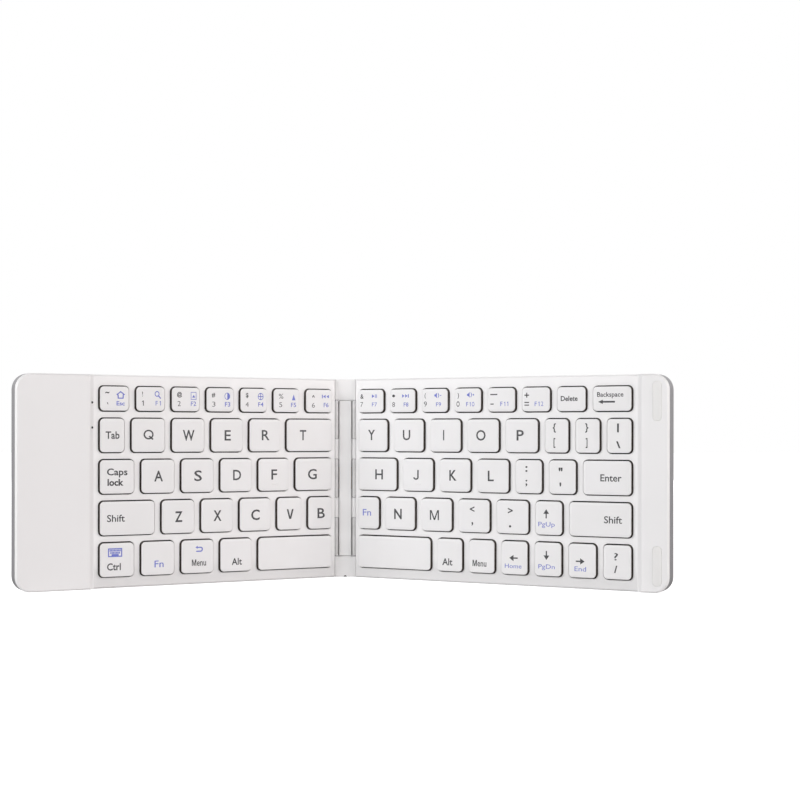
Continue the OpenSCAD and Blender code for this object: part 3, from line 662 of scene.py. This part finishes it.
# Each mark is a list of outlines. A line width of 0 fills an outline, any other leaves a line just inside it.
MARKS = {
    "minus": ((bar(0, 0, 1, 0.1), 0),),
    "equals": ((bar(0, 0.3, 1, 0.24), 0), (bar(0, -0.3, 1, 0.24), 0)),
    "J": ((HOOK, 0),),
    "V": ((LETTER_V, 0),),
    "Q": ((ring(0, 0, 0.5, 32), 0.15), (Q_TAIL, 0)),
    "*": ((STAR, 0),),
    "M": ((letter_m(0.31, -0.6, 0.36, 0.58, 0.075), 0),),
    "heavy M": ((letter_m(0.25, -0.4, 0.31, 0.4, 0.09), 0),),
    "one": ((bar(0.2, 0, 0.36, 2), 0), (ONE_FLAG, 0)),
    "arrow left": ((ARROW, 0),),
    "long arrow": ((LONG_ARROW, 0),),
    "arrow right": ((turned(ARROW, 2), 0),),
    "arrow up": ((turned(ARROW, 3), 0),),
    "arrow down": ((turned(ARROW, 1), 0),),
    "house": ((HOUSE, 0.13),),
    "glass": ((ring(-0.12, 0.14, 0.37), 0.12), (GLASS_HANDLE, 0)),
    "picture": ((bar(0, 0, 0.84, 1), 0.075), (HILL, 0)),
    "half disc": ((ring(0, 0, 0.5), 0.09), (arc(0, 0, 0.42, 0.42, 90, -90, 8), 0)),
    "globe": ((ring(0, 0, 0.5), 0.1), (bar(0, 0, 0.82, 0.12), 0), (bar(0, 0, 0.12, 0.82), 0)),
    "peak": ((PEAK, 0),),
    "back": ((bar(-0.95, 0, 0.18, 1), 0), (moved(LEFT_TIP, -0.3), 0), (moved(LEFT_TIP, 0.35), 0)),
    "next": ((bar(0.95, 0, 0.18, 1), 0), (moved(RIGHT_TIP, 0.3), 0), (moved(RIGHT_TIP, -0.35), 0)),
    "play": ((moved(PLAY_TIP, -0.3), 0), (bar(0.25, 0, 0.16, 1), 0), (bar(0.6, 0, 0.16, 1), 0)),
    "softer": ((SPEAKER, 0), (SOUND, 0), (bar(0.43, 0, 0.22, 0.08), 0)),
    "louder": ((SPEAKER, 0), (SOUND, 0), (bar(0.42, 0, 0.24, 0.08), 0), (bar(0.42, 0, 0.08, 0.24), 0)),
    "keys": (
        (bar(0, 0, 1.7, 1), 0.13),
        *((bar(-0.595 + 0.17 * i, 0.23, 0.135, 0.21), 0) for i in range(8)),
        *((bar(-0.51 + 0.17 * i, -0.03, 0.135, 0.21), 0) for i in range(7)),
        (bar(0, -0.27, 0.86, 0.2), 0),
    ),
    "turn": ((BACK_TURN, 0),),
}
# For each side and row, a legend's key, what it says, its middle on the key, its width and its height. BLUE
# marks what is printed in blue-violet.
LEGENDS = {
    (-1, 0): (
        (0, "~", -3.2, 2.5, 1.75, 0.85), (0, "`", -3.1, -2.05, 0.65, 0.8),
        (0, "house", 2.6, 1.6, 3.89, 3.3, BLUE), (0, "Esc", 2.6, -2.0, 3.6, 1.7, BLUE),
        (1, "!", -3.65, 2.1, 0.36, 2.12), (1, "one", -3.5, -1.8, 0.78, 2.18),
        (1, "glass", 3.2, 1.75, 2.88, 3.35, BLUE), (1, "F", 2.65, -1.8, 0.95, 1.89, BLUE),
        (1, "one", 4.25, -1.8, 0.6, 1.89, BLUE),
        (2, "@", -2.9, 2.0, 2.35, 2.5), (2, "2", -3.1, -1.85, 1.46, 2.18),
        (2, "picture", 3.5, 1.55, 2.54, 3.35, BLUE), (2, "F2", 3.45, -1.85, 2.4, 1.89, BLUE),
        (3, "#", -3.2, 2.0, 1.62, 2.06), (3, "3", -3.05, -1.95, 1.46, 2.18),
        (3, "half disc", 3.25, 1.6, 2.59, 3.19, BLUE), (3, "F3", 3.4, -1.95, 2.5, 1.89, BLUE),
        (4, "$", -3.25, 2.05, 1.29, 2.36), (4, "4", -3.25, -1.9, 1.46, 2.18),
        (4, "globe", 3.2, 1.65, 2.7, 3.19, BLUE), (4, "F4", 3.3, -1.85, 2.5, 1.89, BLUE),
        (5, "%", -2.8, 1.95, 2.18, 2.24), (5, "5", -3.0, -1.85, 1.46, 2.18),
        (5, "peak", 3.35, 1.5, 1.73, 2.67, BLUE), (5, "F5", 3.3, -1.9, 2.5, 1.89, BLUE),
        (6, "^", -3.0, 2.1, 1.46, 1.06), (6, "6", -3.0, -1.95, 1.46, 2.18),
        (6, "back", 3.0, 2.05, 3.5, 1.6, BLUE), (6, "F6", 3.35, -1.8, 2.4, 1.89, BLUE),
    ),
    (1, 0): (
        (0, "&", -4.35, 2.1, 1.68, 2.12), (0, "7", -4.5, -1.5, 1.34, 2.12),
        (0, "play", 1.95, 2.2, 2.5, 1.6, BLUE), (0, "F7", 2.0, -1.55, 2.5, 1.77, BLUE),
        (1, "*", -4.3, 2.2, 1.4, 1.4), (1, "8", -4.3, -1.65, 1.4, 2.12),
        (1, "next", 1.6, 2.15, 3.3, 1.6, BLUE), (1, "F8", 1.9, -1.7, 2.3, 1.77, BLUE),
        (2, "(", -4.5, 2.0, 0.67, 2.6), (2, "9", -4.45, -1.6, 1.46, 2.24),
        (2, "softer", 1.65, 2.2, 3.4, 2.5, BLUE), (2, "F9", 2.0, -1.75, 2.4, 1.77, BLUE),
        (3, ")", -4.4, 1.9, 0.67, 2.6), (3, "O", -4.5, -1.7, 1.51, 2.24),
        (3, "louder", 1.5, 2.3, 3.4, 2.5, BLUE), (3, "F", -0.1, -1.8, 0.95, 1.83, BLUE),
        (3, "one", 1.25, -1.8, 0.55, 1.83, BLUE), (3, "O", 2.7, -1.8, 1.2, 1.89, BLUE),
        (4, "minus", -3.45, 2.3, 3.3, 0.48), (4, "minus", -4.25, -1.85, 1.5, 0.45),
        (4, "F", 0.1, -1.8, 0.95, 1.89, BLUE), (4, "one", 1.6, -1.8, 0.55, 1.89, BLUE),
        (4, "one", 3.0, -1.8, 0.55, 1.89, BLUE),
        (5, "+", -4.1, 1.85, 2.1, 2.1), (5, "equals", -4.1, -1.85, 2.1, 1.6),
        (5, "F", 0.0, -1.9, 0.95, 1.89, BLUE), (5, "one", 1.45, -1.9, 0.55, 1.89, BLUE),
        (5, "2", 2.9, -1.9, 1.1, 1.89, BLUE),
        (6, "Delete", -0.85, 0.25, 7.5, 2),
        (7, "Backspace", -0.75, 1.8, 11.4, 1.9), (7, "long arrow", -2.35, -1.3, 7.3, 1.8),
    ),
    (-1, 1): (
        (0, "Tab", 0.1, 0.1, 6.05, 3.0), (1, "Q", 0.0, 0.2, 4.48, 4.4), (2, "W", 0.1, 0.0, 5.35, 4.4),
        (3, "E", 0.2, 0.0, 2.97, 4.4), (4, "R", 0.25, 0.1, 3.73, 4.4), (5, "T", -3.4, 0.1, 3.13, 4.4),
    ),
    (1, 1): (
        (0, "Y", -0.5, 0.2, 3.51, 4.4), (1, "U", -0.9, 0.2, 3.67, 4.4), (2, "I", -0.7, 0.2, 0.54, 4.4),
        (3, "O", -0.9, 0.15, 4.48, 4.4), (4, "P", -0.6, 0.2, 3.29, 4.4),
        (5, "{", -0.95, 3.35, 1.35, 4.0), (5, "[", -0.9, -3.05, 0.8, 4.2),
        (6, "}", -0.3, 3.35, 1.35, 4.0), (6, "]", -0.35, -3.05, 0.8, 4.2),
        (7, "|", -0.45, 3.35, 0.8, 3.7), (7, "\\", -0.3, -3.7, 1.9, 2.9),
    ),
    (-1, 2): (
        (0, "Caps", 0.0, 2.1, 8.95, 2.75), (0, "lock", -0.75, -2.35, 7.0, 2.65),
        (1, "A", 0.2, 0.1, 3.89, 4.4), (2, "S", 0.15, 0.0, 3.56, 4.4), (3, "D", 0.35, 0.1, 3.78, 4.4),
        (4, "F", 0.1, 0.1, 2.75, 4.4), (5, "G", -0.9, 0.05, 4.43, 4.4),
    ),
    (1, 2): (
        (0, "H", 1.05, 0.0, 3.89, 4.4), (1, "J", -0.85, 0.0, 2.7, 4.4), (2, "K", -0.85, 0.05, 3.46, 4.4),
        (3, "L", -0.85, 0.05, 2.81, 4.4), (4, ":", -0.95, 3.3, 1.0, 2.5), (4, ";", -0.95, -2.8, 0.85, 2.9),
        (5, '"', -0.7, 3.3, 1.75, 1.55), (5, "'", -0.8, -3.1, 0.75, 1.65),
        (6, "Enter", 1.75, 0.0, 9.2, 2.85),
    ),
    (-1, 3): (
        (0, "Shift", -5.1, 0.0, 7.8, 2.85), (1, "Z", 0.2, 0.0, 3.4, 4.4), (2, "X", 0.05, 0.0, 3.73, 4.4),
        (3, "C", 0.0, -0.1, 4.1, 4.4), (4, "V", 0.2, -0.15, 3.35, 4.4), (5, "B", 0.35, -0.1, 3.67, 4.4),
    ),
    (1, 3): (
        (0, "Fn", -0.65, 0.25, 4.2, 2.9, BLUE), (1, "N", -0.9, -0.1, 3.78, 4.4),
        (2, "M", -0.9, -0.1, 4.43, 4.4), (3, "<", -0.75, 3.0, 2.25, 2.4), (3, ",", -0.65, -3.45, 0.8, 1.65),
        (4, ">", -0.85, 2.8, 2.25, 2.4), (4, ".", -0.95, -4.0, 1.05, 1.05),
        (5, "arrow up", -1.05, 1.85, 2.6, 3.9), (5, "PgUp", -0.9, -2.6, 7.4, 1.9, BLUE),
        (6, "Shift", 5.7, 0.05, 7.8, 2.85),
    ),
    (-1, 4): (
        (0, "keys", -0.9, 3.1, 6.2, 3.7, BLUE), (0, "Ctrl", -1.4, -2.9, 6.0, 2.85),
        (1, "Fn", 0.45, -2.45, 4.1, 2.85, BLUE),
        (2, "turn", 0.65, 3.35, 3.4, 2.6, BLUE), (2, "heavy M", -1.65, -2.6, 2.05, 2.75),
        (2, "enu", 1.75, -2.6, 4.2, 2.75), (3, "Alt", 0.25, -2.85, 4.8, 2.85),
    ),
    (1, 4): (
        (1, "Alt", -0.95, -3.0, 4.9, 2.9),
        (2, "heavy M", -3.15, -2.95, 2.05, 2.75), (2, "enu", 0.25, -2.95, 4.2, 2.75),
        (3, "arrow left", -0.3, -0.05, 3.9, 2.7), (3, "Home", -0.45, -3.5, 7.7, 1.85, BLUE),
        (4, "arrow down", -0.6, 1.65, 2.6, 3.9), (4, "PgDn", -0.5, -3.1, 7.4, 1.85, BLUE),
        (5, "arrow right", -0.8, -0.25, 3.9, 2.7), (5, "End", -0.75, -3.45, 5.1, 1.95, BLUE),
        (6, "?", -0.45, 2.35, 1.7, 3.1), (6, "/", -0.6, -2.95, 1.4, 3.1),
    ),
}


def mark_shape(name):
    """Flat faces of one of the drawn marks."""
    shape = bmesh.new()
    for outline, line in MARKS[name]:
        face = shape.faces.new([shape.verts.new((x, y, 0)) for x, y in outline])
        face.normal_update()
        if line:
            bmesh.ops.inset_region(shape, faces=[face], thickness=line, use_boundary=True,
                                   use_even_offset=True)
            bmesh.ops.delete(shape, geom=[face], context="FACES_ONLY")
    return shape


def word_shape(word, height, spread):
    """Flat faces of a word in the built-in type, with the ink's spread."""
    line = bpy.data.curves.new("legend", "FONT")
    line.body = word
    line.resolution_u = 3
    line.offset = spread * CAPITAL / max(height, THIN_INK)
    holder = bpy.data.objects.new("legend", line)
    bpy.context.scene.collection.objects.link(holder)
    bpy.context.view_layer.update()
    lump = bpy.data.meshes.new_from_object(holder)
    bpy.data.objects.remove(holder)
    bpy.data.curves.remove(line)
    shape = bmesh.new()
    shape.from_mesh(lump)
    bpy.data.meshes.remove(lump)
    bmesh.ops.remove_doubles(shape, verts=shape.verts, dist=TYPE_WELD)
    return shape


def fitted(shape, word, x, y, width, height):
    """Place for a flat shape with its middle at x, y; a word's height is that of its capitals."""
    left, right = min(v.co.x for v in shape.verts), max(v.co.x for v in shape.verts)
    foot, head = min(v.co.y for v in shape.verts), max(v.co.y for v in shape.verts)
    if word.isalnum() and word not in MARKS:
        foot, head = 0, CAPITAL
    centred = Matrix.Translation((-(left + right) / 2, -(foot + head) / 2, 0))
    size = Matrix.Diagonal((width / (right - left), height / (head - foot), 1, 1))
    return Matrix.Translation((x, y, 0)) @ size @ centred


for (side, row), marks in LEGENDS.items():
    half = dict(HALVES)[side]
    cells = key_cells(side, row)
    film = bmesh.new()
    for key, word, across, along, width, height, *ink in marks:
        spread = SPREADS.get(word, BLUE_SPREAD if ink else INK_SPREAD)
        shape = mark_shape(word) if word in MARKS else word_shape(word, height, spread)
        place = fitted(shape, word, cells[key][0] + across, cells[key][1] + along, width, height)
        for face in shape.faces:
            face.material_index = BLUE if ink else 0
        add_shape(film, shape, place)
    bmesh.ops.translate(film, vec=(0, 0, CAP_TOP_Z - INK_FOOT), verts=film.verts)
    drawn_out(film, film.faces[:], INK_FOOT + INK_TOP)
    bmesh.ops.recalc_face_normals(film, faces=film.faces)
    add_piece(film, on_half(side), f"{half}_legends_{row + 1}", f"{half}_keys_{row + 1}",
              [ink_grey, ink_blue], "contact_dark")


# ---- Moulded top cases ----
# White moulded frames with an opening for every key and a raised strip at the outer end, clipped into the
# metal trays. Rims and openings have a mould's small round edges. The key field is painted a lighter white,
# as painted light against the shade the caps cast on it, and darker towards the front edges, as painted
# shade.
PLATE_Z = 5.8
CASE_EDGE = 0.14
EDGES_FROM = PLATE_Z - 0.8                      # only edges above this are rounded
# The key field is painted darker towards the front edges: painted shade, set by these three numbers.
FOOT_SHADE = 0.84                               # share of the colour that is left at the front edges
FOOT_FROM = 3.5                                 # heights between which the rest comes back
FOOT_TO = 12.0
case_white = surface("case_white", (0.81, 0.803, 0.805, 1), WHITE, patches=25, gloss=(0.36, 0.46),
                     relief=0.18)
# A lighter copy of the case white: painted light on the key field, against the shade that the caps cast on
# it.
field_painted_lighter = surface("key_field_painted_lighter", (0.885, 0.88, 0.882, 1), (0.875, 0.868, 0.868, 1), patches=25,
                      gloss=(0.36, 0.46), relief=0.18)


def shade_foot(material, share, low, high):
    """Paints shade into a material's colour towards the front edges, down to a share of it, from one height
    to another.
    """
    tree = material.node_tree
    base = tree.nodes["Principled BSDF"].inputs["Base Color"]
    place, parts = tree.nodes.new("ShaderNodeTexCoord"), tree.nodes.new("ShaderNodeSeparateXYZ")
    tree.links.new(place.outputs["Object"], parts.inputs["Vector"])
    climb = tree.nodes.new("ShaderNodeMapRange")
    climb.interpolation_type = "SMOOTHSTEP"
    for socket, value in (
        ("From Min", low * MM),
        ("From Max", high * MM),
        ("To Min", share),
        ("To Max", 1.0),
    ):
        climb.inputs[socket].default_value = value
    tree.links.new(parts.outputs["Z"], climb.inputs["Value"])
    dim = tree.nodes.new("ShaderNodeMix")
    dim.data_type = "RGBA"
    dim.blend_type = "MULTIPLY"
    dim.inputs["Factor"].default_value = 1.0
    tree.links.new(base.links[0].from_socket, dim.inputs["A"])
    tree.links.new(climb.outputs["Result"], dim.inputs["B"])
    tree.links.new(dim.outputs["Result"], base)


# Painted shade on the key field towards the front edges.
shade_foot(field_painted_lighter, FOOT_SHADE, FOOT_FROM, FOOT_TO)
for side, half in HALVES:
    node = half + "_top_case"
    case = merged_copy(node, on_half(side))
    soften(case, CASE_EDGE, where=lambda e: lowest(e) > EDGES_FROM)
    for face in case.faces:
        # Faces of the key field take the lighter copy, the painted light.
        face.material_index = int(middle_z(face) < PLATE_Z + NEAR)
    even_normals(add_piece(case, on_half(side), half + "_top_moulding", half + "_half",
                           [case_white, field_painted_lighter], "case_white", node))


# ---- Closing pads ----
# Two soft silicone pads are glued into pockets of the right strip, where the closed left half meets them.
# Slightly creamy, with the top edge rounded over.
PAD_EDGE = 0.2
PAD_RIM_Z = 7.9                                 # edges above this are the pads' top edges
pad_silicone = surface("pad_silicone", (0.775, 0.77, 0.76, 1), (0.755, 0.745, 0.73, 1), patches=90,
                       grains=2500, gloss=(0.5, 0.62), relief=0.2)
pads = merged_copy("closing_pads", on_half(1))
soften(pads, PAD_EDGE, segments=3, where=lambda e: lowest(e) > PAD_RIM_Z)
add_piece(pads, on_half(1), "closing_pad_pair", "right_half", [pad_silicone], "pad_silicone", "closing_pads")


# ---- Studio ----
# Pale floor and plain soft light. The camera looks square at the keyboard from a little right of the hinge.
# It and the reflections see a white background, and what that sheds on the part is dimmer.
FOCAL_PX = 1431.3
FRAME_PX = 800
SENSOR = 36.0
CAMERA_AT = Vector((12.13, -657.6, 66.14)) * MM
CENTRE_PX = (371.8, 432.7)
ROLL = 0.0011                                   # turn about the line of sight, in radians
AMBIENT = 0.206
LAMP_AIM = Vector((0, 0, 0.04))
FLOOR_REACH = 4.0
FLOOR_GLOW = 0.85

lens = bpy.data.cameras.new("camera")
lens.sensor_width = SENSOR
lens.lens = FOCAL_PX / FRAME_PX * SENSOR
lens.shift_x = (FRAME_PX / 2 - CENTRE_PX[0]) / FRAME_PX
lens.shift_y = (CENTRE_PX[1] - FRAME_PX / 2) / FRAME_PX
lens.clip_start = 0.01
camera = bpy.data.objects.new("camera", lens)
camera.matrix_world = (Matrix.Translation(CAMERA_AT) @ Matrix.Rotation(math.radians(90), 4, "X")
                       @ Matrix.Rotation(ROLL, 4, "Z"))
bpy.context.scene.collection.objects.link(camera)
bpy.context.scene.camera = camera

bpy.context.scene.view_settings.view_transform = "Standard"
world = bpy.data.worlds.new("studio")
bpy.context.scene.world = world
world.use_nodes = True
sky = world.node_tree
background = sky.nodes["Background"]
background.inputs["Color"].default_value = (1, 1, 1, 1)
path = sky.nodes.new("ShaderNodeLightPath")
seen = path.outputs["Is Camera Ray"]
for kind in ("Is Glossy Ray", "Is Transmission Ray"):
    either = sky.nodes.new("ShaderNodeMath")
    either.operation = "MAXIMUM"
    sky.links.new(seen, either.inputs[0])
    sky.links.new(path.outputs[kind], either.inputs[1])
    seen = either.outputs[0]
strength = sky.nodes.new("ShaderNodeMapRange")
strength.inputs["To Min"].default_value = AMBIENT
sky.links.new(seen, strength.inputs["Value"])
sky.links.new(strength.outputs["Result"], background.inputs["Strength"])

for name, place, size, watts, colour in (
    ("left_lamp", (-1.17, -0.68, 0.45), 0.5, 10.3, (0.985, 0.985, 1.0)),
    ("right_lamp", (1.17, -0.68, 0.45), 0.5, 9.15, (1.0, 0.94, 0.93)),
    ("front_lamp", (0.02, -1.05, 0.3), 0.4, 2.2, (1.0, 0.99, 0.985)),
    ("back_lamp", (0.1, 1.3, 0.4), 0.7, 6.0, (1.0, 1.0, 1.0)),
):
    lamp = bpy.data.lights.new(name, "AREA")
    lamp.size = size
    lamp.energy = watts
    lamp.color = colour
    stand = bpy.data.objects.new(name, lamp)
    stand.location = place
    stand.rotation_euler = (LAMP_AIM - Vector(place)).to_track_quat("-Z", "Y").to_euler()
    bpy.context.scene.collection.objects.link(stand)

ground = bmesh.new()
bmesh.ops.create_grid(ground, x_segments=2, y_segments=2, size=FLOOR_REACH)
floor_mesh = bpy.data.meshes.new("floor")
ground.to_mesh(floor_mesh)
ground.free()
floor = bpy.data.objects.new("floor", floor_mesh)
bpy.context.scene.collection.objects.link(floor)
pale = bpy.data.materials.new("pale_floor")
pale.use_nodes = True
tree = pale.node_tree
shader = tree.nodes["Principled BSDF"]
shader.inputs["Base Color"].default_value = (0.8, 0.8, 0.8, 1)
shader.inputs["Roughness"].default_value = 0.9
shader.inputs["Emission Color"].default_value = (1, 1, 1, 1)
path = tree.nodes.new("ShaderNodeLightPath")
glow = tree.nodes.new("ShaderNodeMapRange")
glow.inputs["To Max"].default_value = FLOOR_GLOW
tree.links.new(path.outputs["Is Camera Ray"], glow.inputs["Value"])
tree.links.new(glow.outputs["Result"], shader.inputs["Emission Strength"])
floor_mesh.materials.append(pale)
